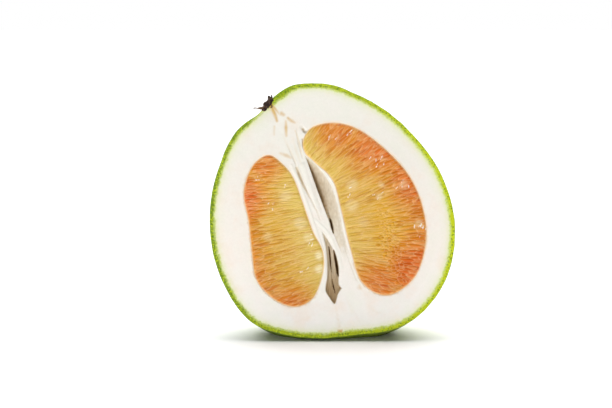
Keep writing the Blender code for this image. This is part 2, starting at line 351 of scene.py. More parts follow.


# Waxy yellow-green rind: mottled, dimpled over each oil gland, with pale specks and a few scars.
# It is painted lighter and yellower towards the right, as painted light from that side.
green_skin, tree, shader, coordinates = new_material("green_skin")
painted_side_light = attribute(tree, "painted_side_light")
cloud = speckle(tree, coordinates, 5.0, 3.0, 0.6)
glands = cells(tree, coordinates, 1.9, 0.9)
# The skin's tone: painted side light, lighter towards the right, with random mottling over it.
tone_and_painted_light = maths(tree, "ADD", maths(tree, "MULTIPLY", painted_side_light, 0.75),
               maths(tree, "MULTIPLY", speckle(tree, coordinates, 17.0, 4.0, 0.55), 0.5))
tone_and_painted_light = maths(tree, "ADD", tone_and_painted_light, maths(tree, "MULTIPLY", cloud, 0.18))
colour = ramp(tree, maths(tree, "SUBTRACT", tone_and_painted_light, 0.22, clamp=True),
              (0.0, shade(80, 106, 30)), (0.35, shade(110, 134, 36)), (0.65, shade(138, 156, 44)),
              (1.0, shade(168, 176, 56)))
dot = ramp(tree, glands, (0.0, grey(1.0)), (0.22, grey(0.8)), (0.42, grey(0.0)))
colour = mix(tree, maths(tree, "MULTIPLY", dot, 0.38), colour, shade(76, 98, 24))
speck = ramp(tree, cells(tree, coordinates, 0.9), (0.0, grey(1.0)), (0.12, grey(0.0)), (1.0, grey(0.0)))
colour = mix(tree, maths(tree, "MULTIPLY", speck, 0.35), colour, shade(180, 186, 104))
scar = maths(tree, "MULTIPLY", maths(tree, "GREATER_THAN", speckle(tree, coordinates, 1.6, 3.0, 0.6), 0.55),
             ramp(tree, speckle(tree, coordinates, 26.0, 5.0, 0.62), (0.60, grey(0.0)), (0.70, grey(1.0))))
colour = mix(tree, maths(tree, "MULTIPLY", scar, 0.55), colour, shade(134, 112, 64))
section = add_peel_section(tree, coordinates, PITH_BY_THE_SKIN)
pit = ramp(tree, glands, (0.0, grey(0.0)), (0.30, grey(0.35)), (0.62, grey(1.0)))
relief = maths(tree, "ADD", maths(tree, "MULTIPLY", pit, 0.75),
               maths(tree, "MULTIPLY", speckle(tree, coordinates, 0.8, 3.0, 0.55), 0.35))
plug(shader, {
    "Base Color": mix(tree, attribute(tree, "cut"), colour, section),
    "Normal": bumped(tree, 0.55, 0.22, relief),
    "Roughness": ramp(tree, cloud, (0.3, grey(0.44)), (0.7, grey(0.60))),
    "Specular IOR Level": 0.28,
    "Subsurface Weight": 0.08,
    "Subsurface Radius": (1.0, 1.0, 0.3),
    "Subsurface Scale": 0.6 * MM,
})

# Rings of points: the hidden inner face from back to front, the band in the cut face, then the outside.
angles = np.linspace(0.0, 2.0 * math.pi, SKIN_STEPS_ROUND, endpoint=False)
backs = np.linspace(0.0, 1.0, SKIN_STEPS_BACK + 1)[1:-1]
backs = np.concatenate([FIRST_BACKS, backs])
outside = np.stack([skin_point(angles, np.full_like(angles, b)) for b in backs])
outside_normals = np.stack([skin_normal(angles, np.full_like(angles, b)) for b in backs])
waves = sum(height * rough_field(outside / MM, size, seed) for height, size, seed in SKIN_WAVES) * MM
waves = waves * smooth_step(outside[..., 2] / (WAVES_START * MM))
outside = outside + outside_normals * waves[..., None]

rim = skin_point(angles, np.zeros_like(angles))
across = skin_normal(angles, np.zeros_like(angles))
across = across - (across @ CUT_NORMAL)[:, None] * CUT_NORMAL
across /= np.linalg.norm(across, axis=1, keepdims=True)
rim = rim + across * waves[0][:, None]
band_depths = np.array([SKIN_THICKNESS, 0.9, 0.55, 0.28, 0.10, 0.02])
band_drops = np.array([0.0, 0.0, 0.0, 0.03, 0.10, RIM_ROUND])
band = np.stack([rim - across * depth * MM - CUT_NORMAL * drop * MM
                 for depth, drop in zip(band_depths, band_drops)])

hidden = np.stack([skin_point(angles, np.full_like(angles, b))
                   - SKIN_THICKNESS * MM * skin_normal(angles, np.full_like(angles, b))
                   for b in np.linspace(HIDDEN_BACKS[1], HIDDEN_BACKS[0], HIDDEN_RINGS)])
rings = np.concatenate([hidden, band, outside])
vertices = np.vstack([rings.reshape(-1, 3), hidden[0].mean(axis=0), outside[-1].mean(axis=0)])
numbers = np.arange(len(rings) * SKIN_STEPS_ROUND).reshape(len(rings), -1)
faces = joined_rings(numbers) + fan(numbers[-1], len(vertices) - 1)
faces += turned(fan(numbers[0], len(vertices) - 2))
skin = new_object("skin", vertices, faces, green_skin)

depth_of_rings = np.concatenate([np.full(len(hidden), SKIN_THICKNESS), band_depths, np.zeros(len(outside))])
cut_of_rings = np.concatenate([np.ones(len(hidden) + len(band) - 1), [0.5], np.zeros(len(outside))])
skin_edge = np.stack([edge_radius(angles) * np.sin(angles),
                      CUT_CENTRE_V + edge_radius(angles) * np.cos(angles)], axis=-1)
rim_change = thinner_peel(skin_edge[:, 0], skin_edge[:, 1])
depth_here = np.maximum(np.add.outer(depth_of_rings, rim_change), 0.0)
store(skin, "peel_depth", np.append(depth_here.ravel(), (SKIN_THICKNESS, 0.0)))
store(skin, "cut", np.append(np.repeat(cut_of_rings, SKIN_STEPS_ROUND), (1.0, 0.0)))
store(skin, "painted_side_light", painted_side_light_of(vertices))
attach(skin, "root")
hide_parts("rind")


# --- White pith and its open core -----------------------------------------------------------------------
# Soft spongy white tissue, grown in one with the skin and the membranes.  Round the middle it is torn into
# strands and folds: a slit opens above, a hollow below, and the membranes stand up along the segments.

# Outlines of the two segments that the knife opened, clockwise from their upper ends.
LEFT_SEGMENT = ((-40, 113.5), (-31, 108), (-24, 99), (-18, 83), (-12, 66), (-6, 54), (-6, 40), (-12, 25),
                (-23, 19.5), (-36, 24), (-47, 36), (-50, 53), (-52, 72), (-55, 90), (-50, 106))
RIGHT_SEGMENT = ((-18, 123), (-12, 131), (2, 133.5), (17, 129), (34, 116), (48, 100), (56, 81), (58, 60),
                 (51, 38), (34, 26.5), (18, 35), (11, 56), (5, 81), (0, 98), (-11, 109), (-17, 115))
SEGMENT_STEPS_ROUND = 300
HOLLOW_STEPS_ROUND = 150
POCKET_DEPTH = 16.0

# The slit's sharp left edge and the foot of the pale rim on its right, as (u, v) from the bottom up.
SLIT_LEFT = ((6.5, 50), (0.5, 65), (-4, 77), (-10, 93), (-17, 113))
RIM_FOOT = ((12, 46), (7, 66), (4.5, 80), (0, 94), (-5, 102), (-15, 113))
SLIT_BOTTOM, SLIT_TOP = 46, 112.5
# Across the slit, as a share of its width: how high its wall is, and how brown it is painted, which is
# the tissue's tint and, beyond FLAT_BROWN, painted shade.
SLIT_WALL = ((0.0, 0.0), (0.04, -5.9), (0.14, -5.6), (0.30, -3.2), (0.60, -1.7), (0.86, -0.8), (1.0, 0.0))
WALL_BROWN_AND_SHADE = ((0.0, 0.75), (0.10, 0.66), (0.22, 0.40), (0.50, 0.31), (0.75, 0.25), (0.92, 0.18),
              (1.0, 0.0))
FLAT_BROWN = 0.25                    # brown up to here is the tissue's tint, and beyond it is shade
# Up the slit, as (v, share): how far open it is, and how much of the tint shows.
SLIT_OPENNESS = ((52, 0.0), (62, 0.08), (73, 0.22), (80, 0.6), (86, 1.0), (104, 1.0), (110, 0.35),
                 (112.5, 0.0))
WALL_TINTED = ((46, 0.0), (58, 0.6), (75, 0.8), (86, 1.0), (106, 1.0), (111, 0.5), (112.5, 0.0))
# The hollow below the slit: how brown it is as (v, brown), its outline, and the depth of its floor.
HOLLOW_BROWN = ((22, 0.62), (34, 0.50), (46, 0.34), (60, 0.24), (66, 0.16))
HOLLOW = ((-6.5, 66), (-3, 61.5), (0, 56), (3, 50), (4, 42), (4, 34), (5.5, 31), (3.5, 27), (1.5, 21),
          (-2, 25), (-4.5, 30), (-3.5, 38), (-3.5, 48), (-4.5, 57))
HOLLOW_FLOOR = 3.6
HOLLOW_STEEPNESS = 3.2


def inside(outline, u, v):
    """True where a place lies inside a closed outline."""
    found = np.zeros(u.shape, bool)
    for (u0, v0), (u1, v1) in zip(outline, np.roll(outline, -1, axis=0)):
        if v0 == v1:
            continue
        crosses = (v0 > v) != (v1 > v)
        found ^= crosses & (u < (u1 - u0) * (v - v0) / (v1 - v0) + u0)
    return found


def nearest_on(line, u, v, closed=False):
    """Distance to a line of points, and the line's own further values at the nearest place on it."""
    line = np.asarray(line, float)
    best = np.full(u.shape, 1e9)
    values = np.zeros(u.shape + (line.shape[1] - 2,))
    starts = line if closed else line[:-1]
    ends = np.roll(line, -1, axis=0) if closed else line[1:]
    for a, b in zip(starts, ends):
        step = b[:2] - a[:2]
        t = np.clip(((u - a[0]) * step[0] + (v - a[1]) * step[1]) / (step @ step), 0.0, 1.0)
        distance = np.hypot(u - a[0] - t * step[0], v - a[1] - t * step[1])
        nearer = distance < best
        best = np.where(nearer, distance, best)
        values[nearer] = (a[2:] + t[..., None] * (b[2:] - a[2:]))[nearer]
    return best, values


def band_along(line, u, v):
    """Soft band along a line of (u, v, half width, strength): strength in its middle, falling to 0."""
    distance, values = nearest_on(line, u, v)
    half_width, strength = values[..., 0], values[..., 1]
    return strength * smooth_step(1.0 - distance / half_width)


def closed_outline(points, count):
    """Evenly spaced places on the smooth closed curve through the points."""
    fine = through(points, np.linspace(0.0, len(points), 12 * count, endpoint=False))
    steps = np.linalg.norm(np.roll(fine, -1, axis=0) - fine, axis=1)
    length = np.concatenate([[0.0], np.cumsum(steps)])
    where = np.linspace(0.0, length[-1], count, endpoint=False)
    looped = np.vstack([fine, fine[:1]])
    return np.stack([np.interp(where, length, looped[:, k]) for k in (0, 1)], axis=-1)


def fill(edge, holes, points):
    """Triangles that fill an outline round any holes in it; the outlines' points come first."""
    loops = [edge, *holes]
    corners = np.vstack([*loops, points])
    sides = []
    start = 0
    for loop in loops:
        sides += [(start + i, start + (i + 1) % len(loop)) for i in range(len(loop))]
        start += len(loop)
    found = geometry.delaunay_2d_cdt([Vector(p) for p in corners], sides, [], 0, 1e-6)
    original = np.array([first[0] for first in found[3]])
    triangles = original[np.array(found[2])]
    middle = corners[triangles].mean(axis=1)
    keep = inside(edge, middle[:, 0], middle[:, 1])
    for hole in holes:
        keep &= ~inside(hole, middle[:, 0], middle[:, 1])
    triangles = triangles[keep]
    a, b, c = (corners[triangles[:, k]] for k in range(3))
    area = (b[:, 0] - a[:, 0]) * (c[:, 1] - a[:, 1]) - (b[:, 1] - a[:, 1]) * (c[:, 0] - a[:, 0])
    return corners, np.where(area[:, None] > 0, triangles, triangles[:, ::-1]).tolist()


def scattered(low, high, spacing, seed):
    """Slightly shaken triangular grid of places between two corners."""
    rng = np.random.default_rng(seed)
    rows = np.arange(low[1], high[1], spacing * 0.866)
    u, v = np.meshgrid(np.arange(low[0], high[0], spacing), rows)
    u = u + 0.5 * spacing * (np.arange(len(rows)) % 2)[:, None]
    places = np.stack([u.ravel(), v.ravel()], axis=-1)
    return places + rng.uniform(-0.18, 0.18, places.shape) * spacing


def cup_rings(outline, depth):
    """Rings of a closed cup behind an outline, and its tip."""
    middle = outline.mean(axis=0)
    rings = []
    for turn in np.linspace(0.0, math.pi / 2, 7)[1:-1]:
        ring = middle + (outline - middle) * math.cos(turn) ** 0.55
        rings.append(place(ring[:, 0], ring[:, 1], depth * math.sin(turn)))
    return rings, place(middle[0], middle[1], depth)


def add_rings(points, faces, first_ring, rings, tip, face_out=True):
    """Adds rings and a tip behind a ring of vertices that is there already."""
    count = sum(len(part) for part in points)
    numbers = [first_ring]
    for ring in rings:
        numbers.append(np.arange(count, count + len(ring)))
        points.append(ring)
        count += len(ring)
    points.append(np.reshape(tip, (1, 3)))
    added = joined_rings(numbers) + fan(numbers[-1], count)
    faces += added if face_out else turned(added)


left_outline = closed_outline(LEFT_SEGMENT, SEGMENT_STEPS_ROUND)
right_outline = closed_outline(RIGHT_SEGMENT, SEGMENT_STEPS_ROUND)
hollow_outline = closed_outline(HOLLOW, HOLLOW_STEPS_ROUND)

# The pith's edge is the inner edge of the skin's band.
edge_v = ((band[0][:, 1] / MM + ORIGIN_BEHIND_CUT) * math.sin(FACE_LEAN)
          + (band[0][:, 2] / MM - CUT_LIFT) * math.cos(FACE_LEAN))
pith_edge = np.stack([band[0][:, 0] / MM, edge_v], axis=-1)


# Narrow cracks that run deeper still, as (u, v, half width, depth).
CRACKS = (
    ((-3.4, 80.5, 0.5, 2.0), (-1.9, 75.4, 0.6, 4.0)),
    ((-1.9, 75.4, 0.4, 3.0), (-1.1, 72.6, 1.1, 7.0), (-0.3, 69.2, 1.2, 7.0), (0.6, 65.0, 0.5, 4.0)),
    ((-2.3, 57.0, 0.5, 4.5), (-1.8, 54.0, 0.9, 7.0), (-1.2, 47.0, 0.9, 7.0), (-0.6, 41.0, 0.5, 5.0)),
    ((0.8, 54.5, 0.6, 5.0), (1.9, 49.5, 1.3, 8.0), (2.8, 44.0, 1.4, 8.5), (3.5, 38.6, 0.8, 6.0)),
    ((-0.2, 36.4, 0.5, 5.0), (0.6, 32.0, 0.8, 7.0), (1.8, 27.9, 0.5, 5.5)),
    ((4.6, 31.2, 0.8, 5.0), (5.4, 30.6, 0.5, 2.0)),
    ((-18.9, 130.6, 0.6, 2.2), (-18.0, 128.6, 1.0, 3.0), (-16.9, 128.0, 0.8, 2.6),
     (-14.8, 129.0, 0.5, 1.2)),
    ((-18.5, 123.4, 0.5, 1.4), (-18.3, 119.6, 0.6, 2.2), (-17.3, 116.1, 0.4, 1.2)),
)
# The loose strand that crosses from the left band over the foot of the slit, and its height above the
# cut; then the bright strands that stand a little proud, and the soft folds between them, each as
# (u, v, half width, height or depth).
CROSSING = ((-10.8, 73.5, 1.5, 0.3), (-7.5, 70.2, 1.3, 0.4), (-4.6, 67.6, 1.3, 0.4),
            (-0.9, 62.3, 1.5, 0.4), (1.7, 56.4, 1.5, 0.3), (3.9, 50.7, 1.6, 0.2), (5.6, 44.0, 1.8, 0.1))
STRANDS = (
    ((-25.5, 106.8, 1.6, 0.5), (-21.0, 97.5, 1.5, 0.7), (-16.3, 84.5, 1.5, 0.7), (-12.4, 73.0, 1.6, 0.7),
     (-8.2, 60.5, 1.6, 0.6), (-4.9, 50.5, 1.3, 0.5), (-4.8, 40.0, 1.2, 0.4)),
    ((-18.5, 107.0, 2.4, 0.6), (-14.8, 96.0, 2.2, 0.6), (-11.4, 85.5, 2.2, 0.6), (-8.4, 77.5, 2.0, 0.5)),
    ((-14.0, 113.0, 0.6, 0.5), (-9.0, 108.6, 0.7, 0.6), (-3.2, 101.9, 0.8, 0.6), (1.3, 94.6, 0.9, 0.6),
     (3.8, 86.0, 0.8, 0.6), (5.6, 77.0, 0.7, 0.5), (8.2, 64.5, 0.7, 0.5), (12.2, 50.0, 0.7, 0.4)),
)
FOLDS = (
    ((-22.6, 106.0, 0.8, 0.8), (-20.8, 101.5, 1.3, 1.6), (-18.3, 95.5, 1.1, 1.3), (-13.4, 86.0, 0.8, 0.5),
     (-9.8, 79.0, 0.8, 0.5), (-7.6, 73.5, 0.6, 0.3)),
    ((-12.5, 100.0, 0.6, 0.2), (-9.2, 86.0, 0.5, 0.3), (-6.5, 79.0, 0.5, 0.2)),
    ((7.6, 56.7, 0.6, 0.2), (11.8, 44.0, 0.7, 0.35), (16.4, 32.0, 0.6, 0.35)),
    ((-27.8, 120.0, 0.9, 0.2), (-24.6, 112.0, 0.9, 0.5), (-22.4, 107.0, 0.8, 0.4)),
    ((-22.0, 130.0, 0.8, 0.2), (-21.2, 121.0, 0.8, 0.5), (-18.6, 112.0, 0.7, 0.4)),
)


def core_relief(u, v):
    """The ripped core: height over the flat cut, its tan tint with painted shade, and where it is bright
    white.
    """
    flat = np.stack([u, v, np.zeros_like(u)], axis=-1)
    height = np.zeros_like(u)

    # Slit: steep under the left strand, then a wall that climbs to the pale rim on the right.
    left_u = np.interp(v, *np.array(SLIT_LEFT).T[::-1])
    right_u = np.interp(v, *np.array(RIM_FOOT).T[::-1])
    ripple = 0.25 * rough_field(flat * (1.0, 0.35, 1.0), 1.6, 4) * smooth_step((u - left_u - 0.4) / 0.8)
    x = (u + ripple - left_u) / np.maximum(right_u - left_u, 0.4)
    openness = np.interp(v, *np.array(SLIT_OPENNESS).T, left=0.0, right=0.0)
    wall = np.interp(x, *np.array(SLIT_WALL).T) * openness
    in_slit = (x > 0.0) & (x < 1.0) & (v > SLIT_BOTTOM) & (v < SLIT_TOP)
    height = np.where(in_slit, np.minimum(height, wall), height)

    # Hollow: steep sides, and long fibres on its floor.
    from_side = nearest_on(hollow_outline, u, v, closed=True)[0]
    depth_in = np.where(inside(hollow_outline, u, v), from_side, 0.0)
    fibres = 1.1 * rough_field(flat * (1.0, 0.07, 1.0), 0.9, 5)
    hollow = -np.minimum(depth_in * HOLLOW_STEEPNESS, HOLLOW_FLOOR + fibres)
    height = np.minimum(height, np.where(depth_in > 0.0, hollow, 0.0))

    grain = 0.10 * rough_field(flat * (1.0, 0.6, 1.0), 1.1, 6)
    # The slit's wall: the tissue's tint up to FLAT_BROWN, and beyond it painted shade, strongest up the
    # slit.
    wall_brown_and_shade = np.interp(x, *np.array(WALL_BROWN_AND_SHADE).T)
    tinted = np.minimum(wall_brown_and_shade, FLAT_BROWN) * np.interp(v, *np.array(WALL_TINTED).T)
    painted_shade = np.maximum(wall_brown_and_shade - FLAT_BROWN, 0.0) * smooth_step((v - 66.0) / 18.0)
    brown_and_shade = np.where(in_slit, (tinted + painted_shade) * (1.0 + 4.0 * grain), 0.0)
    hollow_brown = np.interp(v, *np.array(HOLLOW_BROWN).T) * smooth_step(depth_in / 0.6)
    brown_and_shade = np.maximum(brown_and_shade, hollow_brown)
    # Cracks are cut into the relief and painted darker the deeper they run: painted shade in them.
    for crack in CRACKS:
        cut = band_along(crack, u, v)
        height = np.minimum(height, -cut)
        brown_and_shade = np.maximum(brown_and_shade, smooth_step(cut / 6.0))
    # Everything sunk more than a millimetre is painted darker with depth: painted shade in the recesses.
    brown_and_shade = np.maximum(brown_and_shade, 0.9 * smooth_step((-height - 1.0) / 7.0))

    # The loose strand that crosses from the left band over the foot of the slit.
    distance, values = nearest_on(CROSSING, u, v)
    over = smooth_step((values[..., 0] - distance) / 0.5)
    height = height * (1.0 - over) + over * (values[..., 1] * smooth_step(1.0 - distance / values[..., 0]))
    brown_and_shade = brown_and_shade * (1.0 - over)

    # Bright strands that stand a little proud, and the soft folds between them, painted darker as shade in
    # the creases.
    open_here = smooth_step(1.0 + height / 1.5)
    white = np.zeros_like(u)
    for strand in STRANDS:
        raised = band_along(strand, u, v)
        white = np.maximum(white, raised / 0.7)
        height = height + raised * open_here
    for fold in FOLDS:
        sunk = band_along(fold, u, v)
        height = height - sunk * open_here
        brown_and_shade = np.maximum(brown_and_shade, 0.30 * sunk)
    return height, brown_and_shade, np.clip(np.maximum(white, over), 0.0, 1.0)


# Matt, slightly damp white pith: faint pink and green clouds, tan bundles by the stem, brown cracks.
# Towards its foot it is painted lighter and pinker: partly its own tint, and partly painted light that
# makes up for the floor's shade there.  The core's browns are partly its tint and partly painted shade.
white_pith, tree, shader, coordinates = new_material("white_pith")
FRUIT_HEIGHT = 0.16
# Painted light: the pith is lighter and warmer towards the foot, partly its own tint and partly painted
# light.
world_z = node(tree, "SeparateXYZ", {"Vector": coordinates}).outputs["Z"]
height_here = maths(tree, "MULTIPLY", world_z, 1.0 / FRUIT_HEIGHT)
pith_tint_and_painted_light = ramp(tree, height_here, (0.02, shade(255, 252, 247)), (0.35, shade(247, 240, 231)),
                 (0.75, shade(237, 233, 224)), (1.0, shade(237, 234, 225)))
clouds = ramp(tree, speckle(tree, coordinates, 14.0, 4.0, 0.55),
              (0.35, shade(253, 255, 253)), (0.5, shade(255, 255, 255)), (0.68, shade(255, 250, 247)))
clouds = mix(tree, 1.0, pith_tint_and_painted_light, clouds, "MULTIPLY")
crumbs = ramp(tree, speckle(tree, coordinates, 1.4, 4.0, 0.6), (0.3, grey(0.965)), (0.7, grey(1.0)))
colour = mix(tree, 1.0, clouds, crumbs, "MULTIPLY")
strand = maths(tree, "MULTIPLY", attribute(tree, "strand"), 0.7)
colour = mix(tree, strand, colour, shade(242, 239, 229))
colour = add_peel_section(tree, coordinates, colour)
stretched = node(tree, "Mapping", {"Vector": coordinates, "Scale": (1.0, 1.0, 0.16)}, vector_type="POINT")
strings = speckle(tree, stretched.outputs["Vector"], 0.9, 3.0, 0.6)
tan = maths(tree, "MULTIPLY", attribute(tree, "tan"),
            ramp(tree, strings, (0.30, grey(0.7)), (0.55, grey(1.0))))
colour = mix(tree, tan, colour, shade(206, 160, 40))
colour = mix(tree, attribute(tree, "juicy"), colour, shade(250, 226, 192))
# The core's brown: partly the tissue's tint, partly painted shade in the slit, cracks, folds and recesses.
brown_and_shade = ramp(tree, attribute(tree, "brown_and_shade"), (0.0, shade(244, 238, 226)), (0.22, shade(226, 212, 188)),
             (0.55, shade(186, 160, 122)), (1.0, shade(110, 76, 40)))
darker_strings = ramp(tree, strings, (0.3, grey(0.86)), (0.7, grey(1.0)))
brown_and_shade = mix(tree, 1.0, brown_and_shade, darker_strings, "MULTIPLY")
hollow = ramp(tree, attribute(tree, "brown_and_shade"), (0.0, grey(0.0)), (0.16, grey(1.0)))
relief = maths(tree, "ADD", maths(tree, "MULTIPLY", speckle(tree, coordinates, 0.7, 3.0, 0.6), 0.7),
               maths(tree, "MULTIPLY", strings, 0.6))
plug(shader, {
    "Base Color": mix(tree, hollow, colour, brown_and_shade),
    "Normal": bumped(tree, 0.35, 0.15, relief),
    "Roughness": 0.72,
    "Specular IOR Level": 0.30,
    "Subsurface Weight": 0.08,
    "Subsurface Radius": (1.0, 0.9, 0.75),
    "Subsurface Scale": 0.6 * MM,
})

# Places that the cut face is built on: a coarse net, and a fine one along the core, as far to each side
# of its line as CORE_REACH says, as (v, reach).
CORE_LINE = ((-40, 142), (-28, 124), (-20, 108), (-9, 82), (0, 56), (2, 40), (3, 26))
CORE_REACH = ((26, 9.0), (40, 14.0), (56, 15.0), (82, 16.0), (108, 13.0), (124, 11.0), (142, 8.0))
NET_LOW, NET_HIGH = (-80, -5), (80, 160)
FINE_SPACING = 0.42
COARSE_SPACING = 1.6
NETS_APART = 0.6
nets = []
for spacing, seed in ((FINE_SPACING, 2), (COARSE_SPACING, 1)):
    net = scattered(NET_LOW, NET_HIGH, spacing, seed)
    core_reach = np.interp(net[:, 1], *np.array(CORE_REACH).T)
    past_core = nearest_on(CORE_LINE, net[:, 0], net[:, 1])[0] - core_reach
    nets.append(net[past_core < 0.0] if spacing == FINE_SPACING else net[past_core > NETS_APART])
net = np.vstack(nets)

# Two close rows of places keep the slit's left edge sharp.
SLIT_ROWS = (47.0, 112.0)
SLIT_ROW_STEP = 0.3
SLIT_ROWS_APART = 0.32
SLIT_CLEAR = 0.36
slit_v = np.arange(*SLIT_ROWS, SLIT_ROW_STEP)
slit_u = np.interp(slit_v, *np.array(SLIT_LEFT).T[::-1])
between_rows = np.stack([slit_u + 0.15, slit_v], axis=-1)
net = net[nearest_on(between_rows, net[:, 0], net[:, 1])[0] > SLIT_CLEAR]
net = np.vstack([net, np.stack([slit_u, slit_v], axis=-1),
                 np.stack([slit_u + SLIT_ROWS_APART, slit_v], axis=-1)])

SKIN_CLEAR = 0.5
SEGMENT_CLEAR = 0.22
net = net[inside(pith_edge, net[:, 0], net[:, 1])]
net = net[nearest_on(pith_edge, net[:, 0], net[:, 1], closed=True)[0] > SKIN_CLEAR]
for outline in (left_outline, right_outline):
    net = net[~inside(outline, net[:, 0], net[:, 1])]
    net = net[nearest_on(outline, net[:, 0], net[:, 1], closed=True)[0] > SEGMENT_CLEAR]
corners, faces = fill(pith_edge, [left_outline, right_outline], net)
u, v = corners[:, 0], corners[:, 1]
height, brown_and_shade_here, white_here = core_relief(u, v)
peel_depth = nearest_on(skin_edge, u, v, closed=True)[0]
peel_depth[:len(pith_edge)] = SKIN_THICKNESS
peel_shown = np.maximum(peel_depth + thinner_peel(u, v), 0.0)
edge_gap = np.minimum(nearest_on(left_outline, u, v, closed=True)[0],
                      nearest_on(right_outline, u, v, closed=True)[0])
SPONGE_HEIGHT = 0.10
SPONGE_SIZE = 4.0
sponge = SPONGE_HEIGHT * rough_field(np.stack([u, v, 0 * u], axis=-1), SPONGE_SIZE, 8)
height += sponge * smooth_step((peel_depth - SKIN_THICKNESS) / 4.0) * smooth_step(edge_gap / 2.0)

# Vascular bundles, as (u, v, half width, strength).
BUNDLES = (
    ((-42.0, 148.0, 4.0, 0.6), (-38.0, 143.0, 3.5, 0.4), (-35.0, 138.0, 2.5, 0.1)),
    ((-39.4, 146.0, 2.6, 0.9), (-37.4, 142.5, 2.0, 0.9),
     (-35.6, 138.5, 1.8, 0.85), (-34.4, 134.6, 1.4, 0.7)),
    ((-43.6, 144.6, 1.2, 0.7), (-47.6, 139.8, 1.0, 0.5), (-51.0, 136.6, 0.8, 0.2)),
    ((-37.5, 144.5, 1.4, 0.8), (-34.6, 141.0, 1.3, 0.6), (-33.0, 138.8, 0.9, 0.3)),
    ((-31.6, 139.2, 2.2, 0.6), (-30.2, 138.4, 1.8, 0.5)),
    ((-27.6, 136.4, 1.5, 0.65), (-25.4, 134.6, 1.6, 0.6), (-23.2, 133.5, 1.1, 0.35)),
    ((-28.9, 134.6, 1.2, 0.35), (-28.8, 130.5, 1.7, 0.75), (-28.6, 125.4, 1.4, 0.4)),
    ((-36.0, 131.2, 1.2, 0.3), (-36.2, 126.0, 1.2, 0.2)),
    ((-32.5, 114.6, 1.4, 0.25), (-28.6, 113.2, 2.0, 0.50), (-25.8, 111.8, 1.4, 0.3)),
    ((-23.0, 128.6, 0.8, 0.3), (-20.4, 120.5, 0.8, 0.4), (-19.4, 115.0, 0.7, 0.35)),
    ((-18.4, 123.4, 0.7, 0.8), (-18.2, 119.6, 0.7, 0.7), (-17.2, 116.0, 0.6, 0.5)),
    ((15.4, 33.6, 0.8, 0.4), (16.6, 31.6, 1.1, 0.8), (17.4, 30.6, 0.7, 0.4)),
    ((12.8, 46.5, 0.6, 0.4), (13.6, 43.0, 0.7, 0.4)),
    ((-21.8, 105.5, 1.0, 0.45), (-19.8, 99.5, 1.2, 0.6), (-16.8, 92.5, 1.0, 0.4)),
    ((3.6, 4.6, 1.1, 0.9), (5.4, 4.4, 1.1, 0.9)),
    ((2.0, 20.0, 1.2, 0.05), (3.2, 13.0, 1.2, 0.12), (4.4, 6.5, 0.9, 0.2)),
    ((9.0, 24.0, 1.0, 0.03), (12.0, 17.0, 1.3, 0.10), (17.0, 10.0, 1.0, 0.03)),
    ((20.0, 22.0, 1.0, 0.03), (27.0, 16.5, 1.3, 0.10), (34.0, 14.0, 1.0, 0.03)),
    ((-9.0, 16.0, 1.0, 0.03), (-16.0, 12.0, 1.3, 0.08), (-24.0, 10.0, 1.0, 0.03)),
    ((-31.0, 126.0, 1.4, 0.03), (-27.5, 119.0, 1.6, 0.12), (-23.0, 110.0, 1.2, 0.05)),
    ((-24.5, 124.0, 1.2, 0.03), (-22.5, 116.0, 1.4, 0.14), (-19.0, 107.0, 1.2, 0.08)),
)
tan_here = np.zeros_like(u)
for bundle in BUNDLES:
    tan_here = np.maximum(tan_here, band_along(bundle, u, v))

points = [place(u, v, -height)]
first = len(pith_edge)
for outline in (left_outline, right_outline):
    rings, tip = cup_rings(outline, POCKET_DEPTH)
    add_rings(points, faces, np.arange(first, first + len(outline)), rings, tip, face_out=False)
    first += len(outline)
# Behind the cut the pith keeps a hair's breadth clear of the skin.
HIDDEN_INSET = 1.03 * SKIN_THICKNESS
rings = []
for back in np.linspace(*HIDDEN_BACKS, HIDDEN_RINGS):
    ring = skin_point(angles, np.full_like(angles, back))
    rings.append(ring - HIDDEN_INSET * MM * skin_normal(angles, np.full_like(angles, back)))
add_rings(points, faces, np.arange(len(pith_edge)), rings, rings[-1].mean(axis=0))

# What each vertex shows: past the cut face, plain pith, far from the skin, stained by the juice.
DEEP_IN_PITH = 9.0
JUICE_SOAKS = 0.7                    # how far juice stains the pith beside a segment
JUICE_STAIN = 0.7
vertices = np.vstack(points)
pith = new_object("pith_body", vertices, faces, white_pith)
unseen = np.zeros(len(vertices) - len(u))
store(pith, "peel_depth", np.append(peel_shown, unseen + DEEP_IN_PITH))
store(pith, "painted_side_light", painted_side_light_of(vertices))
store(pith, "brown_and_shade", np.append(brown_and_shade_here, unseen))
store(pith, "strand", np.append(white_here, unseen))
store(pith, "tan", np.append(tan_here, unseen))
store(pith, "juicy", np.append(JUICE_STAIN * smooth_step(1.0 - edge_gap / JUICE_SOAKS), unseen + 1.0))
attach(pith, "root")
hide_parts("pith")


# --- Juicy segments -------------------------------------------------------------------------------------
# Two segments opened by the knife: each is packed with hundreds of spindle-shaped juice sacs that grew
# from the outer wall towards the core, thin pale walls round clear orange juice, wet on the surface.

SEGMENT_GRID = 0.33
FLESH_DEPTH = 15.0
EDGE_ROUND = 1.7
SAC_TRIES = 16000
PALE_SHARE = 0.075                   # light that the thin walls and the wet surface add over the juice
SLIM_SAC = (7.0, 0.72)               # half length and half width beside the core,
STOUT_SAC = (4.2, 1.6)               # and at the peel or where the juice is blushed
LEAN_SCATTER = 4.0                   # degrees
SHORTEST, LONGEST = (0.7, 0.8), (1.35, 1.25)    # shares of that half length and half width
CLOSEST_ALONG = 0.42                 # middles of sacs are at least this share of their two half lengths,
CLOSEST_ACROSS = 0.47                # or of their two half widths, apart
DOME_LENGTH = 1.45                   # a dome is this many half lengths long to each side, under its
DOME_WIDTH = 1.15                    # neighbours, and this many half widths wide
GAP_DEPTH = -0.8                     # the surface where no sac shows
CORE_TOP = (-40, 144)                # the core's line, from the stem
CORE_FOOT = (5, 4)                   # to the blossom scar


